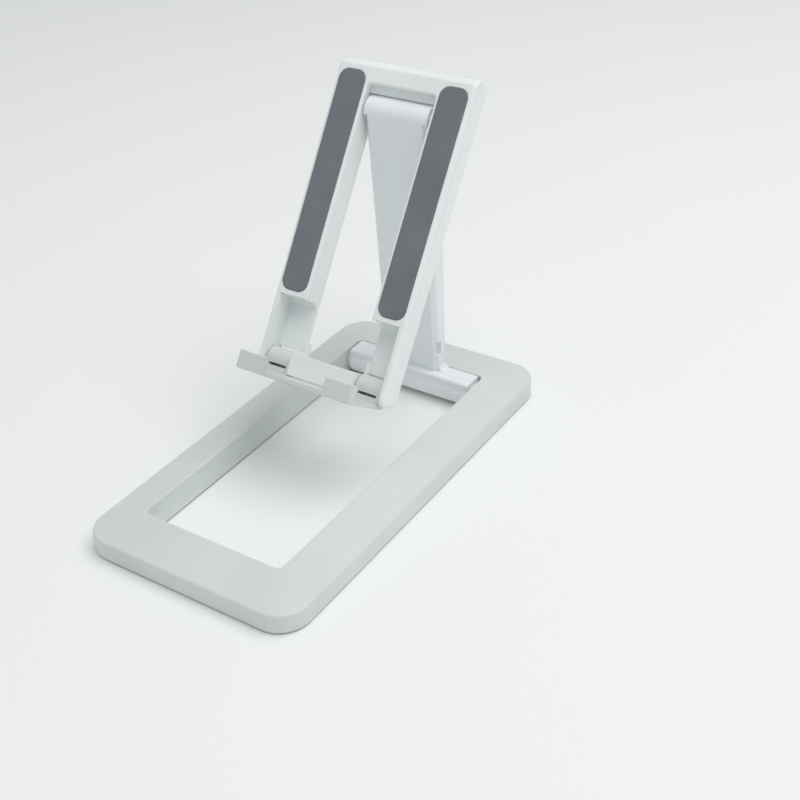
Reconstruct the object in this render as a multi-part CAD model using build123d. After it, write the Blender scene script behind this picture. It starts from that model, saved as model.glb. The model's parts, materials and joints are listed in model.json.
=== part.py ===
# Folding tablet stand: a flat frame base, a swinging arm, a U-shaped cradle and a fold-out lip.
# Millimetres, +Z up, front of the stand towards -Y, origin on the table under the base centre.
import math
import os

from build123d import *

# base frame
base_width = 80.0
base_length = 150.0
base_corner_radius = 10.0
front_rail = 15.2
rear_rail = 17.6
rim_drop = 3.0
rim_flat = 0.8
rim_above_cradle = 0.5
rim_radius = 0.3
shoulder_radius = 0.9
shell_bottom = 0.5
shell_bevel = 0.3
base_wall = 1.8
opening_side_gap = 1.25
opening_corner_radius = 2.0
opening_front_gap = 0.4
opening_rear_gap = 0.7
cover_thickness = 1.6
cover_fit = 0.2
screw_post_radius = 2.4
screw_post_from_front = 3.0
screw_post_from_hinge = 10.8
foot_diameter = 9.0
foot_height = 1.1
foot_inset = 9.5
foot_edge_radius = 0.35
weight_height = 2.9
weight_fit = 0.5
weight_end_gap = 3.2
weight_corner = 1.0

# hinges
base_axis_height = 5.3
base_pin_diameter = 4.0
pin_seat_depth = 5.6
pin_end_gap = 0.2
pin_bevel = 0.3
hinge_block_length = 6.5
hinge_block_half = 4.5
bush_wall = 1.2
bush_length = 8.0
bush_slit = 0.4
shaft_diameter = 3.0
shaft_seat_wall = 2.6
shaft_end_gap = 0.2
lip_pin_diameter = 2.4
lip_pin_end_wall = 0.7
lip_pin_end_gap = 0.2
running_fit = 0.05
nut_across_flats = 5.5
nut_thickness = 2.4
nut_room = 0.25
spring_radius = 2.9
spring_thickness = 0.9
washer_radius = 3.2
washer_fit = 0.15
washer_step = 0.5

# arm
arm_half_width = 11.0
knuckle_half_width = 11.6
knuckle_radius = 4.4
arm_front_low = 1.3
arm_taper_start = 18.0
arm_back = 4.4
arm_wall = 1.6
arm_edge_bevel = 1.5
arm_cover_thickness = 1.4
arm_cover_margin = 3.3
arm_cover_seat = 2.0
arm_cover_fit = 0.1
arm_cover_edge_radius = 0.25
arm_rib_thickness = 1.2
arm_rib_front = 1.2
root_radius = 4.5
root_front = 3.6
root_top = 10.7
root_gap = 1.4
root_edge_radius = 0.8
root_end_bevel = 0.3
root_fillet = 1.9
notch_depth = 1.1
notch_front = 0.4
notch_back = 1.8
notch_above_root = 6.3
notch_height = 5.0

# cradle, laid out in its own plane with the upper hinge as the zero point
cradle_lean = 35.4
cradle_width = 49.9
cradle_thickness = 9.0
axis_depth = 4.6
axis_to_top = 12.2
leg_root_gap = 2.5
top_bevel = 2.8
crown_wall = 2.4
window_half_width = 12.7
window_top = 5.0
window_corner_radius = 1.6
window_edge_radius = 0.5
hood_depth = 3.0
hood_gap = 0.35
hood_inset = 0.4
hood_overlap = 0.5
front_plate_thickness = 2.4
cradle_wall = 1.8
back_wall = 1.6
cradle_edge_radius = 1.2
leg_end_radius = 2.4
top_edge_radius = 0.8
pad_inner_margin = 1.05
pad_outer_margin = 1.35
pad_start = 1.8
pad_end_gap = 1.7
pad_thickness = 0.95
pad_recess = 0.6
pad_fit = 0.1
pad_edge_radius = 0.25

# lip and its recess
recess_floor = 7.3
recess_slope = 0.6
recess_corner = 1.6
leg_side_wall = 2.05
lip_axis_from_end = 4.3
lip_axis_depth = 5.2
barrel_radius = 3.8
barrel_fit = 0.3
barrel_edge_radius = 0.4
ledge_reach = 14.6
ledge_drop = 4.3
ledge_thickness = 1.2
lip_corner_radius = 1.5
lip_edge_radius = 0.3
lip_side_gap = 0.7
tab_height = 5.9
tab_thickness = 1.7
tab_inner = 11.5
rim_height = 0.3
rim_thickness = 1.2
web_inset = 0.3
slot_side = 1.5
slot_high = 1.5
slot_low = 2.4
tip_clearance = 1.1
cheek_inner = 11.35
cheek_thickness = 1.0
cheek_height = 4.0
cheek_inset = 0.3
bar_above_lip_axis = 3.4
bar_thickness = 2.8

# small screws
screw_diameter = 2.2
screw_fit = 0.1
screw_head_diameter = 3.9
screw_head_height = 1.0
screw_cross_length = 2.4
screw_cross_width = 0.5
screw_cross_depth = 0.5
screw_post_cover = 1.2
leg_post_radius = 2.3
leg_screw_length = 4.0
first_leg_screw = 14.8
last_leg_screw = 6.1

# sizes that follow from the ones above
rim_top = base_axis_height + cradle_thickness - axis_depth + rim_above_cradle
outer_wall_top = rim_top - rim_drop
cradle_half = cradle_width / 2
opening_half = cradle_half + opening_side_gap
front_wall_y = -base_length / 2 + front_rail
rear_wall_y = base_length / 2 - rear_rail
opening_length = rear_wall_y - front_wall_y
opening_centre_y = (rear_wall_y + front_wall_y) / 2
base_axis_y = rear_wall_y - opening_rear_gap - arm_back
arm_length = base_axis_y - front_wall_y - opening_front_gap - axis_to_top - top_bevel
upper_axis_height = base_axis_height + arm_length
root_half = opening_half - root_gap
rail_centre_x = (base_width / 2 + opening_half) / 2
cradle_length = axis_to_top + upper_axis_height - root_top - leg_root_gap
lip_axis_from_top = cradle_length - lip_axis_from_end
bar_top = lip_axis_from_top - bar_above_lip_axis
recess_half = cradle_half - leg_side_wall
lip_half = recess_half - lip_side_gap
barrel_inner = cheek_inner + cheek_thickness + barrel_fit
barrel_outer = recess_half - barrel_fit
lip_reach = lip_axis_depth + ledge_reach
recess_top = lip_axis_from_top - lip_reach - tip_clearance
pad_width = cradle_half - window_half_width - pad_inner_margin - pad_outer_margin
pad_centre = window_half_width + pad_inner_margin + pad_width / 2
pad_end = recess_top - pad_end_gap
front_z = axis_depth
back_z = axis_depth - cradle_thickness
lip_axis_y = axis_to_top - lip_axis_from_top
lip_axis_z = front_z - lip_axis_depth
cradle_frame = Location((0, base_axis_y, upper_axis_height), (90 - cradle_lean, 0, 0))


def box(x0, x1, y0, y1, z0, z1):
    """A box between two corners."""
    size = (x1 - x0, y1 - y0, z1 - z0)
    middle = ((x0 + x1) / 2, (y0 + y1) / 2, (z0 + z1) / 2)
    return Pos(*middle) * Box(*size)


def rod(radius, x0, x1, y, z):
    """A round rod along X."""
    return Pos((x0 + x1) / 2, y, z) * Rot(0, 90, 0) * Cylinder(radius, x1 - x0)


def post(radius, x, y, z0, z1):
    """A round post along Z."""
    return Pos(x, y, (z0 + z1) / 2) * Cylinder(radius, z1 - z0)


def along(distance):
    """Place in the cradle's plane, measured down from the front face's top edge."""
    return axis_to_top - distance


def rounded_outline(width, length, radius, y, z):
    """A rounded rectangle lying flat."""
    return Pos(0, y, z) * RectangleRounded(width, length, radius)


def frame_block(inset, drop, bottom):
    """The base's outer form, moved inwards by inset and down by drop."""
    width = base_width - 2 * inset
    length = base_length - 2 * inset
    radius = base_corner_radius - inset
    low = outer_wall_top - drop
    high = rim_top - drop
    inner_width = 2 * (opening_half + rim_flat)
    inner_length = opening_length + 2 * rim_flat
    inner_radius = opening_corner_radius + rim_flat
    wall = extrude(rounded_outline(width, length, radius, 0, bottom), low - bottom)
    outer = rounded_outline(width, length, radius, 0, low)
    inner = rounded_outline(inner_width, inner_length, inner_radius, opening_centre_y, high)
    return wall + loft([outer, inner], ruled=True)


def opening_block(grow, bottom, top):
    """The through opening of the base, made larger by grow."""
    outline = rounded_outline(
        2 * (opening_half + grow),
        opening_length + 2 * grow,
        opening_corner_radius + grow,
        opening_centre_y,
        bottom,
    )
    return extrude(outline, top - bottom)


def base_screw_places():
    """Screw posts: one in the front and rear rails, two in each side rail."""
    side_x = rail_centre_x
    front_y = (front_wall_y - base_length / 2) / 2
    rear_y = (rear_wall_y + base_length / 2) / 2
    near_hinge = base_axis_y - screw_post_from_hinge
    near_front = front_wall_y + screw_post_from_front
    places = [(0, front_y), (0, rear_y)]
    for side in (-1, 1):
        places.append((side * side_x, near_front))
        places.append((side * side_x, near_hinge))
    return places


def foot_places():
    """Feet near the four corners."""
    x = base_width / 2 - foot_inset
    y = base_length / 2 - foot_inset
    return [(-x, -y), (x, -y), (-x, y), (x, y)]


def make_base_top_shell():
    outer = frame_block(0, 0, shell_bottom)
    cutter_top = rim_top + 1
    outer -= opening_block(0, shell_bottom - 1, cutter_top)
    shoulder = outer.edges().filter_by_position(Axis.Z, outer_wall_top - 0.01, outer_wall_top + 0.01)
    outer = fillet(shoulder, shoulder_radius)
    rim = outer.edges().filter_by_position(Axis.Z, rim_top - 0.01, rim_top + 0.01)
    outer = fillet(rim, rim_radius)
    foot_edge = outer.edges().filter_by_position(Axis.Z, shell_bottom - 0.01, shell_bottom + 0.01)
    outer = chamfer(foot_edge, shell_bevel)
    cavity = frame_block(base_wall, base_wall, shell_bottom - 1)
    cavity -= opening_block(base_wall, shell_bottom - 2, cutter_top)
    shell = outer - cavity
    cover_top = shell_bottom + cover_thickness
    keep = frame_block(base_wall / 2, base_wall / 2, shell_bottom)
    for x, y in base_screw_places():
        boss = post(screw_post_radius, x, y, cover_top, rim_top) & keep
        shell += boss
        shell -= post(screw_diameter / 2 + screw_fit, x, y, 0, outer_wall_top - base_wall / 2)
    for side in (-1, 1):
        inner = side * (opening_half + base_wall / 2)
        outer_x = side * (opening_half + hinge_block_length)
        x0, x1 = sorted((inner, outer_x))
        y0 = base_axis_y - hinge_block_half
        y1 = base_axis_y + hinge_block_half
        shell += box(x0, x1, y0, y1, cover_top, rim_top) & keep
        x0, x1 = sorted((side * (opening_half - 1), side * (opening_half + pin_seat_depth)))
        shell -= rod(base_pin_diameter / 2, x0, x1, base_axis_y, base_axis_height)
    return shell


def make_base_bottom_cover():
    inset = base_wall + cover_fit
    outline = rounded_outline(
        base_width - 2 * inset,
        base_length - 2 * inset,
        base_corner_radius - inset,
        0,
        shell_bottom,
    )
    cover = extrude(outline, cover_thickness)
    cover -= opening_block(inset, shell_bottom - 1, rim_top)
    for x, y in foot_places():
        cover -= post(foot_diameter / 2 + cover_fit, x, y, 0, foot_height)
    for x, y in base_screw_places():
        cover -= post(screw_diameter / 2 + screw_fit, x, y, 0, rim_top)
        cover -= post(screw_head_diameter / 2 + screw_fit, x, y, 0, shell_bottom + screw_head_height)
    return cover


def screw(x, y, z_head, length, upward):
    """A pan-head screw along Z with its cross recess; the head's outer face is at z_head."""
    long_half = screw_cross_length / 2
    thin_half = screw_cross_width / 2
    radius = screw_head_diameter / 2
    direction = 1 if upward else -1
    head_end = z_head + direction * screw_head_height
    tip = z_head + direction * length
    z0, z1 = sorted((z_head, head_end))
    head = post(radius, x, y, z0, z1)
    z0, z1 = sorted((head_end, tip))
    body = head + post(screw_diameter / 2, x, y, z0, z1)
    z0, z1 = sorted((z_head, z_head + direction * screw_cross_depth))
    body -= box(x - long_half, x + long_half, y - thin_half, y + thin_half, z0, z1)
    body -= box(x - thin_half, x + thin_half, y - long_half, y + long_half, z0, z1)
    return body


def make_base_screws():
    length = outer_wall_top - base_wall - screw_post_cover
    return Compound(children=[screw(x, y, shell_bottom, length, True) for x, y in base_screw_places()])


def make_base_feet():
    feet = []
    for x, y in foot_places():
        foot = post(foot_diameter / 2, x, y, 0, foot_height)
        feet.append(fillet(foot.edges().sort_by(Axis.Z)[0], foot_edge_radius))
    return Compound(children=feet)


def make_base_weight(side):
    """A steel strip along one side rail, between the two screw posts."""
    half = (base_width / 2 - opening_half) / 2 - base_wall - weight_fit
    ys = sorted(y for x, y in base_screw_places() if x > 0)
    y0 = ys[0] + weight_end_gap
    y1 = ys[1] - weight_end_gap
    x = side * rail_centre_x
    bottom = shell_bottom + cover_thickness
    bar = box(x - half, x + half, y0, y1, bottom, bottom + weight_height)
    return chamfer(bar.edges().filter_by(Axis.Z), weight_corner)


def make_base_hinge_pin(side):
    outer_end = opening_half + pin_seat_depth - pin_end_gap
    x0, x1 = sorted((side * (root_half - bush_length), side * outer_end))
    pin = rod(base_pin_diameter / 2, x0, x1, base_axis_y, base_axis_height)
    return chamfer(pin.edges().filter_by(GeomType.CIRCLE), pin_bevel)


def ring(outer_radius, inner_radius, x0, x1, y, z):
    """A flat ring around an axis along X."""
    return rod(outer_radius, x0, x1, y, z) - rod(inner_radius, x0 - 1, x1 + 1, y, z)


def make_base_hinge_washers():
    washers = []
    for side in (-1, 1):
        x0, x1 = sorted((side * (root_half + washer_fit), side * (opening_half - washer_fit)))
        hole = base_pin_diameter / 2 + running_fit
        washers.append(ring(root_radius - washer_step, hole, x0, x1, base_axis_y, base_axis_height))
    return Compound(children=washers)


def make_base_hinge_bushes():
    bushes = []
    for side in (-1, 1):
        x0, x1 = sorted((side * (root_half - bush_length), side * root_half))
        hole = base_pin_diameter / 2 + running_fit
        bush = ring(hole + bush_wall, hole, x0, x1, base_axis_y, base_axis_height)
        y0 = base_axis_y - bush_slit / 2
        y1 = base_axis_y + bush_slit / 2
        slit = box(x0 - 1, x1 + 1, y0, y1, base_axis_height + 1, root_top)
        bushes.append(bush - slit)
    return Compound(children=bushes)


def arm_front_at(height):
    """How far the arm's front face stands before the hinge axes; it leans forward towards the top."""
    share = (height - arm_taper_start) / (upper_axis_height - arm_taper_start)
    return arm_front_low + (knuckle_radius - arm_front_low) * share


def column_block(inset, half_low, half_high, bottom, top, back):
    """A column between two heights, inset from the arm's front face, whose half width changes evenly."""
    front_low = base_axis_y - arm_front_at(bottom) + inset
    front_high = base_axis_y - arm_front_at(top) + inset
    low = Plane((0, 0, bottom)) * Polygon(
        (-half_low, front_low), (half_low, front_low), (half_low, back), (-half_low, back), align=None)
    high = Plane((0, 0, top)) * Polygon(
        (-half_high, front_high), (half_high, front_high), (half_high, back), (-half_high, back), align=None)
    return loft([low, high], ruled=True)


def make_root():
    """The T-shaped foot of the arm that turns between the side rails."""
    half = root_half
    bar = rod(root_radius, -half, half, base_axis_y, base_axis_height)
    bar += box(-half, half, base_axis_y - root_front, base_axis_y + arm_back,
               base_axis_height, root_top)
    top_edges = bar.edges().filter_by(Axis.X).group_by(Axis.Z)[-1]
    bar = fillet(top_edges, root_edge_radius)
    ends = bar.faces().sort_by(Axis.X)
    return chamfer(ends[0].edges() + ends[-1].edges(), root_end_bevel)


def make_arm_column():
    """The arm above its foot: a bevelled column that widens into the upper knuckle."""
    top = upper_axis_height
    back = base_axis_y + arm_back
    column = column_block(0, arm_half_width, knuckle_half_width, base_axis_height, top, back)
    uprights = [edge for edge in column.edges() if edge.bounding_box().size.Z > arm_length / 2]
    front_uprights = sorted(uprights, key=lambda edge: edge.center().Y)[:2]
    column = chamfer(front_uprights, arm_edge_bevel)
    half = knuckle_half_width
    knuckle = rod(knuckle_radius, -half, half, base_axis_y, top)
    knuckle &= box(-half, half, base_axis_y - knuckle_radius, back, top, top + knuckle_radius)
    return column + knuckle


def root_web(side):
    """Rounded inner corner between the column and one half of the foot."""
    corner_x = side * arm_half_width
    x0, x1 = sorted((corner_x - side * 0.5, corner_x + side * root_fillet))
    web = box(x0, x1, base_axis_y, base_axis_y + arm_back, root_top - 1, root_top + root_fillet)
    bite = Pos(corner_x + side * root_fillet, base_axis_y, root_top + root_fillet)
    return web - bite * Rot(90, 0, 0) * Cylinder(root_fillet, 4 * arm_back)


def cut_arm_notches(body):
    """A small rectangular notch low on each side of the column."""
    low = root_top + notch_above_root
    for side in (-1, 1):
        x0, x1 = sorted((side * (arm_half_width - notch_depth), side * (arm_half_width + 2)))
        body -= box(x0, x1, base_axis_y - notch_front, base_axis_y + notch_back, low, low + notch_height)
    return body


def make_arm_body():
    back = base_axis_y + arm_back
    body = make_arm_column() + make_root() + root_web(-1) + root_web(1)
    half = arm_half_width - arm_wall
    low = root_top + arm_cover_margin
    high = upper_axis_height - knuckle_radius - arm_cover_margin
    body -= column_block(arm_wall, half, half, low + arm_cover_seat, high - arm_cover_seat, back + 1)
    body -= box(-half, half, back - arm_cover_thickness, back + 1, low, high)
    body = cut_arm_notches(body)
    bush_hole = base_pin_diameter / 2 + running_fit + bush_wall
    for side in (-1, 1):
        x0, x1 = sorted((side * (root_half - bush_length), side * (root_half + 1)))
        body -= rod(bush_hole, x0, x1, base_axis_y, base_axis_height)
    shaft_hole = shaft_diameter / 2 + running_fit
    return body - rod(shaft_hole, -cradle_half, cradle_half, base_axis_y, upper_axis_height)


def make_arm_rear_cover():
    half = arm_half_width - arm_wall - arm_cover_fit
    back = base_axis_y + arm_back
    low = root_top + arm_cover_margin + arm_cover_fit
    high = upper_axis_height - knuckle_radius - arm_cover_margin - arm_cover_fit
    plate = box(-half, half, back - arm_cover_thickness, back, low, high)
    plate = fillet(plate.edges().group_by(Axis.Y)[-1], arm_cover_edge_radius)
    rib_half = half - arm_rib_thickness / 2
    for part in (0.25, 0.5, 0.75):
        z0 = low + (high - low) * part - arm_rib_thickness / 2
        z1 = z0 + arm_rib_thickness
        plate += box(-rib_half, rib_half, base_axis_y + arm_rib_front, back - arm_cover_thickness, z0, z1)
    return plate


def cradle_side_profile():
    """The cradle seen from its side: a bevelled top end and rounded lower corners."""
    top = along(-top_bevel)
    low = along(cradle_length)
    corners = [
        (low, back_z),
        (top, back_z),
        (top, front_z - top_bevel),
        (along(0), front_z),
        (low, front_z),
    ]
    profile = Polygon(*corners, align=None)
    ends = profile.vertices().group_by(Axis.X)
    profile = fillet(ends[0], leg_end_radius)
    upper = [corner for corner in profile.vertices() if corner.X > along(0) - 0.01]
    return fillet(upper, top_edge_radius)


def make_cradle_body():
    """Outer form of the cradle with its window, before it is hollowed and split."""
    plane = Plane((-cradle_half, 0, 0), x_dir=(0, 1, 0), z_dir=(1, 0, 0))
    body = extrude(plane * cradle_side_profile(), cradle_width)
    sides = body.faces().sort_by(Axis.X)
    body = fillet(sides[0].edges() + sides[-1].edges(), cradle_edge_radius)
    window = box(-window_half_width, window_half_width, along(cradle_length) - 5, along(window_top),
                 back_z - 1, front_z + 1)
    window = fillet(window.edges().filter_by(Axis.Z).group_by(Axis.Y)[-1], window_corner_radius)
    body -= window
    rim = body.edges().filter_by_position(Axis.Z, front_z - 0.01, front_z + 0.01)
    inner_rim = [edge for edge in rim if abs(edge.center().X) < window_half_width + 0.01]
    inner_rim = [edge for edge in inner_rim if edge.center().Y < along(window_top) + 0.01]
    body = fillet(inner_rim, window_edge_radius)
    hood_half = window_half_width + hood_overlap
    hood = box(-hood_half, hood_half, knuckle_radius + hood_gap, along(window_top) + hood_overlap,
               back_z + hood_inset, front_z - hood_depth)
    return body + hood


def cut_lip_recess(body):
    """Recess at the lower end of both legs, with a sloping top wall, that takes the folded lip."""
    low = along(cradle_length) - 5
    top = along(recess_top)
    floor = front_z - recess_floor
    profile = Polygon(
        (low, floor),
        (top - recess_slope - recess_corner, floor),
        (top - recess_slope, floor + recess_corner),
        (top, front_z),
        (top, front_z + 1),
        (low, front_z + 1),
        align=None,
    )
    plane = Plane((-recess_half, 0, 0), x_dir=(0, 1, 0), z_dir=(1, 0, 0))
    return body - extrude(plane * profile, 2 * recess_half)


def add_cheeks(body):
    """Inner cheeks of the legs and the thin bar that joins them under the window."""
    low = along(lip_axis_from_top) - barrel_radius
    high = along(bar_top) + cheek_height
    back = back_z + cheek_inset
    for side in (-1, 1):
        x0, x1 = sorted((side * cheek_inner, side * (window_half_width + 0.6)))
        body += box(x0, x1, low, high, back, front_z - recess_floor + cheek_inset)
        body += box(x0, x1, low, along(bar_top), back, front_z)
    half = cheek_inner + cheek_thickness / 2
    bar = box(-half, half, low, along(bar_top), front_z - bar_thickness, front_z)
    return body + bar


def cut_barrel_seats(body):
    """Free space for the lip's barrels between the inner cheeks and the outer walls."""
    low = along(cradle_length) - 5
    seat = barrel_radius + barrel_fit
    for side in (-1, 1):
        x0, x1 = sorted((side * (cheek_inner + cheek_thickness), side * recess_half))
        body -= box(x0, x1, low, lip_axis_y + seat, back_z - 1, front_z + 1)
        x0, x1 = sorted((side * (cheek_inner - 1), side * (cradle_half - lip_pin_end_wall)))
        body -= rod(lip_pin_diameter / 2, x0, x1, lip_axis_y, lip_axis_z)
    return body


def cradle_screw_places():
    """Three screws in each leg, under the pads."""
    first = axis_to_top + first_leg_screw
    last = pad_end - last_leg_screw
    rows = (first, (first + last) / 2, last)
    return [(side * pad_centre, along(row)) for side in (-1, 1) for row in rows]


def hinge_pocket():
    """Room for the nuts and springs of the upper hinge inside the legs."""
    room = nut_across_flats / math.sqrt(3) + nut_room
    inner = window_half_width + cradle_wall
    outer = cradle_half - cradle_wall - nut_room
    return rod(room, inner, outer, 0, 0) + rod(room, -outer, -inner, 0, 0)


def pad_block(side, grow, z0, z1):
    """A rounded strip in the place of one pad."""
    width = pad_width + 2 * grow
    length = pad_end - pad_start + 2 * grow
    middle = along((pad_start + pad_end) / 2)
    strip = Pos(side * pad_centre, middle, z0) * RectangleRounded(width, length, width / 3)
    return extrude(strip, z1 - z0)


def make_cradle_front_plate():
    plate = make_cradle_body()
    split = front_z - front_plate_thickness
    plate &= box(-cradle_width, cradle_width, along(recess_top), cradle_length, split, front_z + 1)
    for side in (-1, 1):
        plate -= pad_block(side, pad_fit, front_z - pad_recess, front_z + 1)
    for x, y in cradle_screw_places():
        seat = front_z - pad_recess - screw_head_height
        plate -= post(screw_head_diameter / 2 + screw_fit, x, y, seat, front_z)
        plate -= post(screw_diameter / 2 + screw_fit, x, y, split - 1, front_z)
    plate -= hinge_pocket()
    return plate


def make_cradle_rear_shell():
    body = cut_lip_recess(make_cradle_body())
    split = front_z - front_plate_thickness
    body -= box(-cradle_width, cradle_width, along(recess_top), cradle_length, split, front_z + 1)
    body = cut_barrel_seats(add_cheeks(body))
    floor = back_z + back_wall
    inner = window_half_width + cradle_wall
    outer = cradle_half - cradle_wall
    leg_low = along(recess_top) + cradle_wall
    crown_low = along(window_top) + cradle_wall
    crown_top = along(-top_bevel) - crown_wall
    cavity = box(-outer, outer, crown_low, crown_top, floor, split + 1)
    for side in (-1, 1):
        x0, x1 = sorted((side * inner, side * outer))
        cavity += box(x0, x1, leg_low, crown_top, floor, split + 1)
    for x, y in cradle_screw_places():
        cavity -= post(leg_post_radius, x, y, floor - 1, split + 2)
    body -= cavity
    for x, y in cradle_screw_places():
        body -= post(screw_diameter / 2 + screw_fit, x, y, floor + 0.6, front_z)
    body -= hinge_pocket()
    seat = cradle_half - shaft_seat_wall
    return body - rod(shaft_diameter / 2, -seat, seat, 0, 0)


def make_cradle_screws():
    head = front_z - pad_recess
    length = front_plate_thickness - pad_recess + leg_screw_length
    return Compound(children=[screw(x, y, head, length, False) for x, y in cradle_screw_places()])


def make_pad(side):
    bottom = front_z - pad_recess
    pad = pad_block(side, 0, bottom, bottom + pad_thickness)
    rim = pad.edges().group_by(Axis.Z)[-1]
    return fillet(rim, pad_edge_radius)


def make_upper_hinge_shaft():
    half = cradle_half - shaft_seat_wall - shaft_end_gap
    shaft = rod(shaft_diameter / 2, -half, half, 0, 0)
    return chamfer(shaft.edges().filter_by(GeomType.CIRCLE), pin_bevel)


def make_upper_hinge_washers():
    washers = []
    for side in (-1, 1):
        gap = (side * (knuckle_half_width + washer_fit), side * (window_half_width - washer_fit))
        x0, x1 = sorted(gap)
        washers.append(ring(washer_radius, shaft_diameter / 2 + running_fit, x0, x1, 0, 0))
    return Compound(children=washers)


def make_upper_hinge_springs():
    """Disc springs that press the legs on to the arm's knuckle."""
    springs = []
    start = window_half_width + cradle_wall
    for side in (-1, 1):
        x0, x1 = sorted((side * start, side * (start + spring_thickness)))
        springs.append(ring(spring_radius, shaft_diameter / 2 + running_fit, x0, x1, 0, 0))
    return Compound(children=springs)


def make_upper_hinge_nuts():
    nuts = []
    start = window_half_width + cradle_wall + spring_thickness
    for side in (-1, 1):
        x0, x1 = sorted((side * start, side * (start + nut_thickness)))
        hexagon = extrude(RegularPolygon(nut_across_flats / math.sqrt(3), 6), x1 - x0)
        nut = Pos(x0, 0, 0) * Rot(0, 90, 0) * hexagon
        nuts.append(nut - rod(shaft_diameter / 2, x0 - 1, x1 + 1, 0, 0))
    return Compound(children=nuts)


def make_ledge():
    """The lip's plate with a low front rim and a tall tab at each outer end, in its opened place."""
    inner = lip_axis_y - ledge_drop
    outer = inner - ledge_thickness
    front = lip_axis_z + lip_reach
    ledge = box(-lip_half, lip_half, outer, inner, lip_axis_z, front)
    ledge += box(-lip_half, lip_half, outer, inner + rim_height, front - rim_thickness, front)
    for side in (-1, 1):
        x0, x1 = sorted((side * tab_inner, side * lip_half))
        ledge += box(x0, x1, outer, outer + tab_height, front - tab_thickness, front)
    uprights = ledge.edges().filter_by(Axis.Y).group_by(Axis.Z)[-1]
    corners = [edge for edge in uprights if abs(edge.center().X) > lip_half - 0.1]
    ledge = fillet(corners, lip_corner_radius)
    tab_tops = ledge.faces().group_by(Axis.Y)[-1]
    ledge = fillet(tab_tops.edges(), lip_edge_radius)
    foot = ledge.faces().sort_by(Axis.Y)[0]
    return fillet(foot.edges(), lip_edge_radius)


def make_lip():
    """Ledge, and two barrels joined to it by webs, each with a moulding slot at the barrel's foot."""
    inner = lip_axis_y - ledge_drop
    outer = inner - ledge_thickness
    bar_radius = math.hypot(lip_axis_depth, lip_axis_from_top - bar_top)
    centre_back = lip_axis_z + math.sqrt((bar_radius + barrel_fit) ** 2 - ledge_drop ** 2)
    lip = make_ledge()
    lip -= box(-barrel_inner, barrel_inner, outer - 1, inner + 1, lip_axis_z - 1, centre_back)
    for side in (-1, 1):
        x0, x1 = sorted((side * barrel_inner, side * barrel_outer))
        barrel = rod(barrel_radius, x0, x1, lip_axis_y, lip_axis_z)
        lip += fillet(barrel.edges().filter_by(GeomType.CIRCLE), barrel_edge_radius)
        x0, x1 = sorted((side * (barrel_inner + web_inset), side * (barrel_outer - web_inset)))
        web_front = lip_axis_z + barrel_radius
        lip += box(x0, x1, outer + lip_edge_radius, lip_axis_y - lip_pin_diameter / 2, lip_axis_z, web_front)
        slot = sorted((side * (barrel_inner + slot_side), side * (barrel_outer - slot_side)))
        lip -= box(slot[0], slot[1], lip_axis_y - slot_low, lip_axis_y - slot_high,
                   lip_axis_z + 0.3, web_front + 1)
        lip -= rod(lip_pin_diameter / 2 + running_fit, x0 - 1, x1 + 1, lip_axis_y, lip_axis_z)
    return lip


def make_lip_pin(side):
    outer_end = cradle_half - lip_pin_end_wall - lip_pin_end_gap
    x0, x1 = sorted((side * (cheek_inner + lip_pin_end_gap), side * outer_end))
    pin = rod(lip_pin_diameter / 2, x0, x1, lip_axis_y, lip_axis_z)
    return chamfer(pin.edges().filter_by(GeomType.CIRCLE), pin_bevel)


os.makedirs("parts", exist_ok=True)

base_parts = {
    "base_top_shell": make_base_top_shell(),
    "base_bottom_cover": make_base_bottom_cover(),
    "base_weight_left": make_base_weight(-1),
    "base_weight_right": make_base_weight(1),
    "base_screws": make_base_screws(),
    "base_feet": make_base_feet(),
    "base_hinge_pin_left": make_base_hinge_pin(-1),
    "base_hinge_pin_right": make_base_hinge_pin(1),
    "base_hinge_washers": make_base_hinge_washers(),
    "base_hinge_bushes": make_base_hinge_bushes(),
    "arm_body": make_arm_body(),
    "arm_rear_cover": make_arm_rear_cover(),
}

cradle_parts = {
    "cradle_rear_shell": make_cradle_rear_shell(),
    "cradle_front_plate": make_cradle_front_plate(),
    "cradle_screws": make_cradle_screws(),
    "pad_left": make_pad(-1),
    "pad_right": make_pad(1),
    "upper_hinge_shaft": make_upper_hinge_shaft(),
    "upper_hinge_washers": make_upper_hinge_washers(),
    "upper_hinge_springs": make_upper_hinge_springs(),
    "upper_hinge_nuts": make_upper_hinge_nuts(),
    "lip": make_lip(),
    "lip_pin_left": make_lip_pin(-1),
    "lip_pin_right": make_lip_pin(1),
}

for name, shape in base_parts.items():
    export_step(shape, f"parts/{name}.step")

for name, shape in cradle_parts.items():
    export_step(cradle_frame * shape, f"parts/{name}.step")
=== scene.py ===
import json
import math

import bmesh
import bpy
from mathutils import Matrix, Vector


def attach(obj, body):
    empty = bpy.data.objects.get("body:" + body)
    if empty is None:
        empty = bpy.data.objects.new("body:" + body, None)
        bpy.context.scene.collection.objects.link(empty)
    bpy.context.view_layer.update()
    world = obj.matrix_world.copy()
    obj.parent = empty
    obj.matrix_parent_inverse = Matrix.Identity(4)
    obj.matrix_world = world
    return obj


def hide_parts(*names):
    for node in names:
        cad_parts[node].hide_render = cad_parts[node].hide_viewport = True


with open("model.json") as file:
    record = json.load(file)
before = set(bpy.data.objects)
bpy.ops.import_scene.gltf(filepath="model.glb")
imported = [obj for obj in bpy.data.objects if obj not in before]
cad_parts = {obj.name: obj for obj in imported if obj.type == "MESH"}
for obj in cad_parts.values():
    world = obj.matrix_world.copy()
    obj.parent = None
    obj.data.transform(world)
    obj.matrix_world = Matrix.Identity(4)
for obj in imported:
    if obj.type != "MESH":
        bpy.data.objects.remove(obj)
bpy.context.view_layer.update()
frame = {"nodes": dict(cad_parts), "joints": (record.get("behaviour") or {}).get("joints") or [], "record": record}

nodes = frame["nodes"]
joints = {joint["name"]: joint for joint in frame["joints"]}
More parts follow.
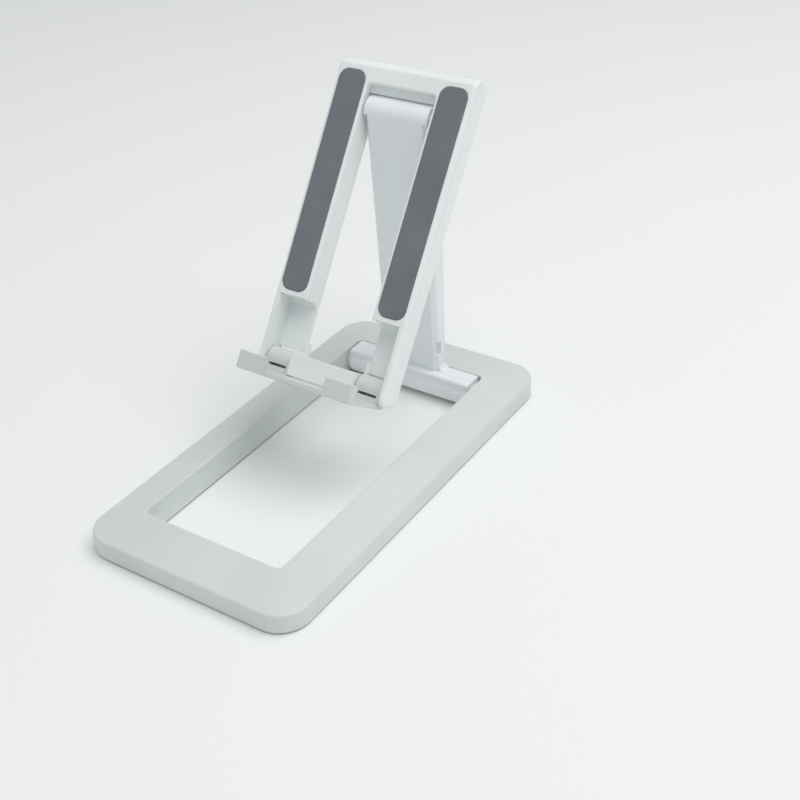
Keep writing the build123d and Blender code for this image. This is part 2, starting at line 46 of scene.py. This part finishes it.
mounts = {mount["name"]: mount for mount in frame["record"]["mounts"]}
mm = 0.001
weldDistance = 0.0001 * mm
bevelSamples = 6


# places that pieces are laid out in

def cradleFrame():
    # X across, Y up along the cradle's face, Z out of the face, zero at the upper hinge
    outward = Vector(mounts["pad_rest"]["axis"])
    across = Vector((1, 0, 0))
    turn = Matrix((across, outward.cross(across), outward)).transposed().to_4x4()
    return Matrix.Translation(joints["cradle_hinge"]["pos_m"]) @ turn


def solidBoxes(nodeName, place):
    # low and high corners of each separate solid of a CAD node, measured in the given place
    bm = bmesh.new()
    bm.from_mesh(nodes[nodeName].data)
    bmesh.ops.remove_doubles(bm, verts=bm.verts, dist=weldDistance)
    back = place.inverted()
    waiting = set(bm.verts)
    boxes = []
    while waiting:
        solid = {next(iter(waiting))}
        front = list(solid)
        while front:
            vert = front.pop()
            joined = {edge.other_vert(vert) for edge in vert.link_edges} - solid
            solid |= joined
            front.extend(joined)
        waiting -= solid
        points = [back @ vert.co for vert in solid]
        low = Vector([min(point[axis] for point in points) for axis in range(3)])
        high = Vector([max(point[axis] for point in points) for axis in range(3)])
        boxes.append((low, high))
    bm.free()
    return sorted(boxes, key=lambda corners: tuple(round(value, 5) for value in corners[0]))


flatPlace = Matrix()
cradlePlace = cradleFrame()


# small helpers for shader graphs; a noise is given by its scale, detail and roughness

def newMaterial(name):
    material = bpy.data.materials.new(name)
    material.use_nodes = True
    tree = material.node_tree
    shader = tree.nodes["Principled BSDF"]
    return material, tree, shader


def addNode(tree, kind, **settings):
    node = tree.nodes.new(kind)
    for key, value in settings.items():
        setattr(node, key, value)
    return node


def objectCoords(tree, stretch=(1, 1, 1)):
    coords = addNode(tree, "ShaderNodeTexCoord")
    mapping = addNode(tree, "ShaderNodeMapping")
    mapping.inputs["Scale"].default_value = stretch
    tree.links.new(coords.outputs["Object"], mapping.inputs["Vector"])
    return mapping.outputs["Vector"]


def noise(tree, vector, scale, detail, roughness):
    node = addNode(tree, "ShaderNodeTexNoise")
    node.inputs["Scale"].default_value = scale
    node.inputs["Detail"].default_value = detail
    node.inputs["Roughness"].default_value = roughness
    tree.links.new(vector, node.inputs["Vector"])
    return node.outputs["Fac"]


def ramp(tree, factor, stops):
    node = addNode(tree, "ShaderNodeValToRGB")
    elements = node.color_ramp.elements
    while len(elements) < len(stops):
        elements.new(0.5)
    for element, (position, color) in zip(elements, stops):
        element.position = position
        element.color = (*color, 1.0)
    tree.links.new(factor, node.inputs["Fac"])
    return node.outputs["Color"]


def toneRamp(tree, factor, look):
    start, end = look["toneStops"]
    return ramp(tree, factor, [(start, look["dark"]), (end, look["light"])])


def spread(tree, factor, low, high):
    node = addNode(tree, "ShaderNodeMapRange")
    node.inputs["To Min"].default_value = low
    node.inputs["To Max"].default_value = high
    tree.links.new(factor, node.inputs["Value"])
    return node.outputs["Result"]


def edgeMask(tree, radius, sharpness):
    bevel = addNode(tree, "ShaderNodeBevel", samples=bevelSamples)
    bevel.inputs["Radius"].default_value = radius
    geometry = addNode(tree, "ShaderNodeNewGeometry")
    dot = addNode(tree, "ShaderNodeVectorMath", operation="DOT_PRODUCT")
    tree.links.new(bevel.outputs["Normal"], dot.inputs[0])
    tree.links.new(geometry.outputs["Normal"], dot.inputs[1])
    node = addNode(tree, "ShaderNodeMapRange")
    node.inputs["From Min"].default_value = 1.0
    node.inputs["From Max"].default_value = 1.0 - sharpness
    tree.links.new(dot.outputs["Value"], node.inputs["Value"])
    return node.outputs["Result"]


def colorMix(tree, blend):
    # the mix node, its two colour inputs and its colour output
    node = addNode(tree, "ShaderNodeMix", data_type="RGBA", blend_type=blend)
    colorIn = [socket for socket in node.inputs if socket.type == "RGBA"]
    colorOut = [socket for socket in node.outputs if socket.type == "RGBA"][0]
    return node, colorIn[0], colorIn[1], colorOut


def bump(tree, height, strength, distance, softEdge=0.0):
    node = addNode(tree, "ShaderNodeBump")
    node.inputs["Strength"].default_value = strength
    node.inputs["Distance"].default_value = distance
    tree.links.new(height, node.inputs["Height"])
    if softEdge:
        bevel = addNode(tree, "ShaderNodeBevel", samples=bevelSamples)
        bevel.inputs["Radius"].default_value = softEdge
        tree.links.new(bevel.outputs["Normal"], node.inputs["Normal"])
    return node.outputs["Normal"]


# white moulded plastic: faint cloudiness, spark-eroded grain, and a painted highlight that pales the edges in
# patches

def mouldedPlastic(name, look):
    material, tree, shader = newMaterial(name)
    place = objectCoords(tree)
    tone = toneRamp(tree, noise(tree, place, *look["cloud"]), look)
    # painted highlight: every edge is paled in noise patches towards the edge highlight tone
    edges = edgeMask(tree, look["edgeRadius"], look["edgeSharpness"])
    patch = noise(tree, place, *look["edgeHighlightPatches"])
    edgeHighlightPatches = addNode(tree, "ShaderNodeMath", operation="MULTIPLY")
    tree.links.new(edges, edgeHighlightPatches.inputs[0])
    tree.links.new(patch, edgeHighlightPatches.inputs[1])
    mix, body, highlitEdge, tint = colorMix(tree, "MIX")
    tree.links.new(edgeHighlightPatches.outputs[0], mix.inputs["Factor"])
    tree.links.new(tone, body)
    highlitEdge.default_value = (*look["edgeHighlightTone"], 1.0)
    tree.links.new(tint, shader.inputs["Base Color"])
    gloss = noise(tree, place, *look["gloss"])
    tree.links.new(spread(tree, gloss, *look["roughness"]), shader.inputs["Roughness"])
    grain = noise(tree, place, *look["grain"])
    surface = bump(tree, grain, look["grainStrength"], look["grainDepth"], look["softEdge"])
    tree.links.new(surface, shader.inputs["Normal"])
    shader.inputs["IOR"].default_value = look["ior"]
    shader.inputs["Specular IOR Level"].default_value = look["specular"]
    return material


plasticLook = {
    "dark": (0.672, 0.718, 0.702), "light": (0.732, 0.776, 0.756), "edgeHighlightTone": (0.84, 0.855, 0.83),
    "toneStops": (0.3, 0.7), "cloud": (28.0, 4.0, 0.55), "edgeHighlightPatches": (160.0, 5.0, 0.6),
    "gloss": (90.0, 3.0, 0.5), "roughness": (0.30, 0.44),
    "grain": (5200.0, 2.0, 0.6), "grainStrength": 0.10, "grainDepth": 0.0001,
    "edgeRadius": 0.0006, "edgeSharpness": 0.25, "softEdge": 0.00035,
    "ior": 1.49, "specular": 0.45,
}
# The cradle and arm copies of the white plastic are made brighter, and the base and lip copies darker, for how
# light falls on each part: painted light on the cradle and arm, painted shade on the base and lip.
cradleLook = dict(plasticLook, dark=(0.85, 0.89, 0.886), light=(0.90, 0.936, 0.93),
                  edgeHighlightTone=(0.92, 0.94, 0.925))
armLook = dict(cradleLook, dark=(0.85, 0.885, 0.90), light=(0.895, 0.925, 0.94))
lipLook = dict(plasticLook, dark=(0.640, 0.682, 0.674), light=(0.698, 0.738, 0.728),
               edgeHighlightTone=(0.83, 0.855, 0.84))
coverLook = dict(plasticLook, dark=(0.60, 0.63, 0.63), light=(0.65, 0.68, 0.68), roughness=(0.42, 0.55))
nylonLook = dict(plasticLook, dark=(0.74, 0.74, 0.71), light=(0.80, 0.80, 0.77), cloud=(300.0, 4.0, 0.55))


# dull rubber: slow cloudiness, pale dust specks, fine grain and a faint sheen

def siliconeRubber(name, look):
    material, tree, shader = newMaterial(name)
    place = objectCoords(tree)
    tone = toneRamp(tree, noise(tree, place, *look["cloud"]), look)
    dust = noise(tree, place, *look["dust"])
    start, end = look["dustStops"]
    specks = ramp(tree, dust, [(start, (0.0, 0.0, 0.0)), (end, look["dustTone"])])
    mix, body, dusted, both = colorMix(tree, "ADD")
    mix.inputs["Factor"].default_value = 1.0
    tree.links.new(tone, body)
    tree.links.new(specks, dusted)
    tree.links.new(both, shader.inputs["Base Color"])
    gloss = noise(tree, place, *look["gloss"])
    tree.links.new(spread(tree, gloss, *look["roughness"]), shader.inputs["Roughness"])
    grain = noise(tree, place, *look["grain"])
    surface = bump(tree, grain, look["grainStrength"], look["grainDepth"])
    tree.links.new(surface, shader.inputs["Normal"])
    shader.inputs["IOR"].default_value = look["ior"]
    shader.inputs["Sheen Weight"].default_value = look["sheen"]
    shader.inputs["Sheen Roughness"].default_value = look["sheenRoughness"]
    return material


padLook = {
    "dark": (0.146, 0.168, 0.186), "light": (0.192, 0.215, 0.234), "dustTone": (0.02, 0.02, 0.02),
    "toneStops": (0.25, 0.75), "cloud": (60.0, 5.0, 0.6),
    "dustStops": (0.62, 0.74), "dust": (1800.0, 2.0, 0.8),
    "gloss": (180.0, 3.0, 0.5), "roughness": (0.55, 0.72),
    "grain": (3000.0, 3.0, 0.7), "grainStrength": 0.35, "grainDepth": 0.00015,
    "ior": 1.42, "sheen": 0.15, "sheenRoughness": 0.5,
}
footLook = dict(padLook, dark=(0.05, 0.05, 0.055), light=(0.075, 0.075, 0.08), roughness=(0.7, 0.85))


# metal with fine streaks that change its colour, gloss and height together

def turnedSteel(name, look):
    material, tree, shader = newMaterial(name)
    place = objectCoords(tree, look["stretch"])
    streak = noise(tree, place, *look["streak"])
    tree.links.new(toneRamp(tree, streak, look), shader.inputs["Base Color"])
    tree.links.new(spread(tree, streak, *look["roughness"]), shader.inputs["Roughness"])
    surface = bump(tree, streak, look["streakStrength"], look["streakDepth"], look["softEdge"])
    tree.links.new(surface, shader.inputs["Normal"])
    shader.inputs["Metallic"].default_value = 1.0
    return material


steelLook = {
    "dark": (0.50, 0.50, 0.49), "light": (0.66, 0.66, 0.65), "roughness": (0.22, 0.38),
    "toneStops": (0.3, 0.7), "stretch": (6, 1, 1), "streak": (900.0, 4.0, 0.6),
    "streakStrength": 0.2, "streakDepth": 0.00005, "softEdge": 0.0001,
}
zincLook = dict(steelLook, dark=(0.48, 0.49, 0.47), light=(0.62, 0.62, 0.58),
                stretch=(1, 1, 1), roughness=(0.35, 0.5))
springLook = dict(steelLook, dark=(0.26, 0.25, 0.23), light=(0.38, 0.37, 0.35), stretch=(1, 1, 1))
bronzeLook = dict(steelLook, dark=(0.52, 0.42, 0.26), light=(0.66, 0.55, 0.36))

whitePlastic = mouldedPlastic("baseWhitePlastic", plasticLook)
cradlePlastic = mouldedPlastic("cradleWhitePlastic", cradleLook)
armPlastic = mouldedPlastic("armWhitePlastic", armLook)
# the lip's copy of the white plastic is darker: painted shade
lipPlastic = mouldedPlastic("lipShadedPlastic", lipLook)
coverPlastic = mouldedPlastic("underCoverPlastic", coverLook)
nylon = mouldedPlastic("naturalNylon", nylonLook)
padRubber = siliconeRubber("greySilicone", padLook)
footRubber = siliconeRubber("footRubber", footLook)
groundSteel = turnedSteel("groundSteelPin", steelLook)
zincSteel = turnedSteel("zincSteel", zincLook)
springSteel = turnedSteel("springSteel", springLook)
bronze = turnedSteel("bushBronze", bronzeLook)

finishes = {
    "base_top_shell": whitePlastic, "base_bottom_cover": coverPlastic,
    "base_weight_left": zincSteel, "base_weight_right": zincSteel, "base_screws": zincSteel,
    "base_feet": footRubber, "base_hinge_pin_left": groundSteel, "base_hinge_pin_right": groundSteel,
    "base_hinge_washers": nylon, "base_hinge_bushes": bronze,
    "arm_body": armPlastic, "arm_rear_cover": armPlastic,
    "cradle_rear_shell": cradlePlastic, "cradle_front_plate": cradlePlastic, "cradle_screws": zincSteel,
    "pad_left": padRubber, "pad_right": padRubber,
    "upper_hinge_shaft": groundSteel, "upper_hinge_washers": nylon, "upper_hinge_springs": springSteel,
    "upper_hinge_nuts": zincSteel,
    "lip": lipPlastic, "lip_pin_left": groundSteel, "lip_pin_right": groundSteel,
}
for nodeName, finish in finishes.items():
    mesh = nodes[nodeName].data
    mesh.materials.clear()
    mesh.materials.append(finish)
print("stage: materials on the CAD nodes")


# new pieces: pads, feet and screws

def finishPiece(bm, pieceName, material, smoothAngle):
    bmesh.ops.recalc_face_normals(bm, faces=bm.faces)
    for face in bm.faces:
        face.smooth = True
    mesh = bpy.data.meshes.new(pieceName)
    bm.to_mesh(mesh)
    bm.free()
    mesh.set_sharp_from_angle(angle=math.radians(smoothAngle))
    mesh.materials.append(material)
    piece = bpy.data.objects.new(pieceName, mesh)
    bpy.context.collection.objects.link(piece)
    return piece


def newestVerts(result):
    return [item for item in result["geom"] if isinstance(item, bmesh.types.BMVert)]


def newestEdges(result):
    return [item for item in result["geom"] if isinstance(item, bmesh.types.BMEdge)]


padShape = {
    "cornerSteps": 12, "cornerShare": 1 / 3, "smoothAngle": 50.0,
    # inset and rise of each step from the wall over the rounded shoulder to the faint crown
    "steps": ((0.02, 0.07), (0.05, 0.06), (0.08, 0.045), (0.12, 0.03), (0.35, 0.02),
              (0.8, 0.015), (1.2, 0.01)),
}


def makePad(nodeName, look):
    low, high = solidBoxes(nodeName, cradlePlace)[0]
    size = high - low
    rise = sum(step[1] for step in look["steps"]) * mm
    bm = bmesh.new()
    bmesh.ops.create_grid(bm, x_segments=1, y_segments=1, size=0.5)
    bmesh.ops.scale(bm, vec=(size.x, size.y, 1), verts=bm.verts)
    bmesh.ops.bevel(bm, geom=bm.verts[:], offset=size.x * look["cornerShare"],
                    segments=look["cornerSteps"], profile=0.5, affect="VERTICES", material=-1)
    raised = newestVerts(bmesh.ops.extrude_face_region(bm, geom=bm.faces[:]))
    bmesh.ops.translate(bm, vec=(0, 0, size.z - rise), verts=raised)
    top = max(bm.faces, key=lambda face: face.calc_center_median().z)
    for inset, lift in look["steps"]:
        bmesh.ops.inset_region(bm, faces=[top], thickness=inset * mm, depth=0, use_even_offset=True)
        bmesh.ops.translate(bm, vec=(0, 0, lift * mm), verts=top.verts)
    middle = (low + high) / 2
    seat = Matrix.Translation((middle.x, middle.y, low.z))
    bmesh.ops.transform(bm, matrix=cradlePlace @ seat, verts=bm.verts)
    pad = finishPiece(bm, nodeName.replace("_", "") + "Strip", padRubber, look["smoothAngle"])
    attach(pad, "cradle")
    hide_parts(nodeName)


makePad("pad_left", padShape)
makePad("pad_right", padShape)

footShape = {
    "steps": 56, "smoothAngle": 50.0, "weld": 0.001,
    # half section: ringed sole, rounded edge, straight wall, flat top, as radius and height
    "section": ((0, 0.22), (1.0, 0.22), (1.2, 0.03), (1.35, 0), (1.95, 0), (2.1, 0.03),
                (2.25, 0.2), (2.7, 0.2), (2.85, 0.03), (3.0, 0), (3.95, 0), (4.2, 0.06),
                (4.4, 0.18), (4.5, 0.36), (4.5, 1.1), (0, 1.1)),
}


def makeFeet(look):
    whole = bmesh.new()
    for low, high in solidBoxes("base_feet", flatPlace):
        middle = (low + high) / 2
        bm = bmesh.new()
        corners = []
        for radius, height in look["section"]:
            corners.append(bm.verts.new((radius * mm, 0, height * mm)))
        for first, second in zip(corners, corners[1:]):
            bm.edges.new((first, second))
        bmesh.ops.spin(bm, geom=bm.verts[:] + bm.edges[:], cent=(0, 0, 0), axis=(0, 0, 1),
                       dvec=(0, 0, 0), angle=math.tau, steps=look["steps"], use_merge=True)
        bmesh.ops.remove_doubles(bm, verts=bm.verts, dist=look["weld"] * mm)
        bmesh.ops.translate(bm, vec=(middle.x, middle.y, low.z), verts=bm.verts)
        foot = bpy.data.meshes.new("foot")
        bm.to_mesh(foot)
        bm.free()
        whole.from_mesh(foot)
    feet = finishPiece(whole, "ringedFeet", footRubber, look["smoothAngle"])
    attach(feet, "base")
    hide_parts("base_feet")


makeFeet(footShape)

screwShape = {
    "steps": 40, "smoothAngle": 35.0,
    "flatRadius": 1.35, "crossLength": 1.15, "crossWidth": 0.24, "crossDepth": 0.5, "crossTaper": 0.72,
    # rings of the head after its flat top, as radius and height below it
    "head": ((1.62, 0.06), (1.82, 0.2), (1.93, 0.42), (1.95, 0.62), (1.95, 0.96), (1.9, 1.0),
             (1.05, 1.0)),
    "threadRadius": 1.1, "coreRadius": 0.86, "pitch": 0.72, "tipRadius": 0.45,
}


def growRing(bm, edges, radius, height):
    # the next ring of a turned shape, grown from the last one
    result = bmesh.ops.extrude_edge_only(bm, edges=edges)
    for vert in newestVerts(result):
        outward = vert.co.to_2d().normalized() * radius * mm
        vert.co = (outward.x, outward.y, height * mm)
    return newestEdges(result)


def makeScrew(look, length):
    bm = bmesh.new()
    bmesh.ops.create_circle(bm, cap_ends=True, radius=look["flatRadius"] * mm, segments=look["steps"])
    for reach in (look["crossWidth"], look["crossLength"]):
        for side in (-1, 1):
            for normal in ((1, 0, 0), (0, 1, 0)):
                cutPoint = Vector(normal) * side * reach * mm
                whole = bm.verts[:] + bm.edges[:] + bm.faces[:]
                bmesh.ops.bisect_plane(bm, geom=whole, plane_co=cutPoint, plane_no=normal,
                                       dist=weldDistance)
    rim = [edge for edge in bm.edges if edge.is_boundary]
    cross = []
    for face in bm.faces:
        near, far = sorted(abs(value) for value in face.calc_center_median().to_2d())
        if near < look["crossWidth"] * mm and far < look["crossLength"] * mm:
            cross.append(face)
    sunk = newestVerts(bmesh.ops.extrude_face_region(bm, geom=cross))
    bmesh.ops.delete(bm, geom=cross, context="FACES_ONLY")
    taper = look["crossTaper"]
    bmesh.ops.scale(bm, vec=(taper, taper, 1), verts=sunk)
    bmesh.ops.translate(bm, vec=(0, 0, look["crossDepth"] * mm), verts=sunk)
    for radius, height in look["head"]:
        rim = growRing(bm, rim, radius, height)
    height = look["head"][-1][1] + look["pitch"] / 2
    while height < length - look["pitch"]:
        rim = growRing(bm, rim, look["coreRadius"], height)
        rim = growRing(bm, rim, look["threadRadius"], height + look["pitch"] / 2)
        height += look["pitch"]
    rim = growRing(bm, rim, look["coreRadius"], length - look["pitch"] / 2)
    rim = growRing(bm, rim, look["tipRadius"], length)
    bmesh.ops.contextual_create(bm, geom=rim)
    return bm


def makeScrews(nodeName, place, headUp, pieceName, body):
    whole = bmesh.new()
    for low, high in solidBoxes(nodeName, place):
        middle = (low + high) / 2
        bm = makeScrew(screwShape, (high.z - low.z) / mm)
        seat = Matrix.Translation((middle.x, middle.y, high.z if headUp else low.z))
        turn = Matrix.Rotation(math.pi if headUp else 0, 4, "X")
        bmesh.ops.transform(bm, matrix=place @ seat @ turn, verts=bm.verts)
        screw = bpy.data.meshes.new("screw")
        bm.to_mesh(screw)
        bm.free()
        whole.from_mesh(screw)
    screws = finishPiece(whole, pieceName, zincSteel, screwShape["smoothAngle"])
    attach(screws, body)
    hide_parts(nodeName)


makeScrews("base_screws", flatPlace, False, "baseCrossScrews", "base")
makeScrews("cradle_screws", cradlePlace, True, "cradleCrossScrews", "cradle")
print("stage: pads, feet and screws")


# studio: pale floor, soft key from above and behind, camera

studio = {
    "worldTone": (0.95, 0.98, 1.0), "worldStrength": 0.5, "lightTarget": (0, 0, 0.03),
}
floorLook = {
    "size": 6.0, "cells": 8, "tone": (0.952, 0.964, 0.948), "shade": 0.985,
    "toneStops": (0.3, 0.7), "cloud": (3.0, 3.0, 0.5), "roughness": 0.8, "specular": 0.2,
}
keyLight = {"place": (0.38, 0.12, 1.1), "size": 1.1, "power": 7.35, "tone": (1.0, 0.995, 0.98)}
fillLight = {"place": (-0.7, -0.6, 0.55), "size": 0.8, "power": 0.1, "tone": (0.96, 0.98, 1.0)}


def makeFloor(look):
    bm = bmesh.new()
    bmesh.ops.create_grid(bm, x_segments=look["cells"], y_segments=look["cells"], size=look["size"] / 2)
    mesh = bpy.data.meshes.new("studioFloor")
    bm.to_mesh(mesh)
    bm.free()
    floor = bpy.data.objects.new("studioFloor", mesh)
    bpy.context.collection.objects.link(floor)
    material, tree, shader = newMaterial("paleFloor")
    place = objectCoords(tree)
    shaded = tuple(channel * look["shade"] for channel in look["tone"])
    stops = dict(look, dark=shaded, light=look["tone"])
    tone = toneRamp(tree, noise(tree, place, *look["cloud"]), stops)
    tree.links.new(tone, shader.inputs["Base Color"])
    shader.inputs["Roughness"].default_value = look["roughness"]
    shader.inputs["Specular IOR Level"].default_value = look["specular"]
    mesh.materials.append(material)


def makeLight(name, look, target):
    light = bpy.data.lights.new(name, "AREA")
    light.shape = "DISK"
    light.size = look["size"]
    light.energy = look["power"]
    light.color = look["tone"]
    lamp = bpy.data.objects.new(name, light)
    lamp.location = look["place"]
    direction = Vector(target) - Vector(look["place"])
    lamp.rotation_euler = direction.to_track_quat("-Z", "Y").to_euler()
    bpy.context.collection.objects.link(lamp)


def makeWorld(look):
    world = bpy.data.worlds.new("softStudio")
    world.use_nodes = True
    background = world.node_tree.nodes["Background"]
    background.inputs["Color"].default_value = (*look["worldTone"], 1.0)
    background.inputs["Strength"].default_value = look["worldStrength"]
    bpy.context.scene.world = world


view = {
    "target": (0.05137, -0.02967, 0.040), "azimuth": 34.39, "elevation": 36.47, "distance": 0.34337,
    "roll": -2.78, "lens": 55.14, "sensor": 36.0, "shift": (-0.0075, 0.0723), "clipStart": 0.01,
}


def makeCamera(look):
    azimuth = math.radians(look["azimuth"])
    elevation = math.radians(look["elevation"])
    level = math.cos(elevation)
    back = Vector((math.sin(azimuth) * level, -math.cos(azimuth) * level, math.sin(elevation)))
    camera = bpy.data.cameras.new("standCamera")
    camera.lens = look["lens"]
    camera.sensor_width = look["sensor"]
    camera.shift_x, camera.shift_y = look["shift"]
    camera.clip_start = look["clipStart"]
    holder = bpy.data.objects.new("standCamera", camera)
    turn = (-back).to_track_quat("-Z", "Y").to_matrix().to_4x4()
    place = Matrix.Translation(Vector(look["target"]) + back * look["distance"])
    roll = Matrix.Rotation(math.radians(look["roll"]), 4, "Z")
    holder.matrix_world = place @ turn @ roll
    bpy.context.collection.objects.link(holder)
    bpy.context.scene.camera = holder


makeFloor(floorLook)
makeWorld(studio)
makeLight("keySoftbox", keyLight, studio["lightTarget"])
makeLight("fillSoftbox", fillLight, studio["lightTarget"])
makeCamera(view)
bpy.context.scene.view_settings.view_transform = "Standard"
print("stage: studio")
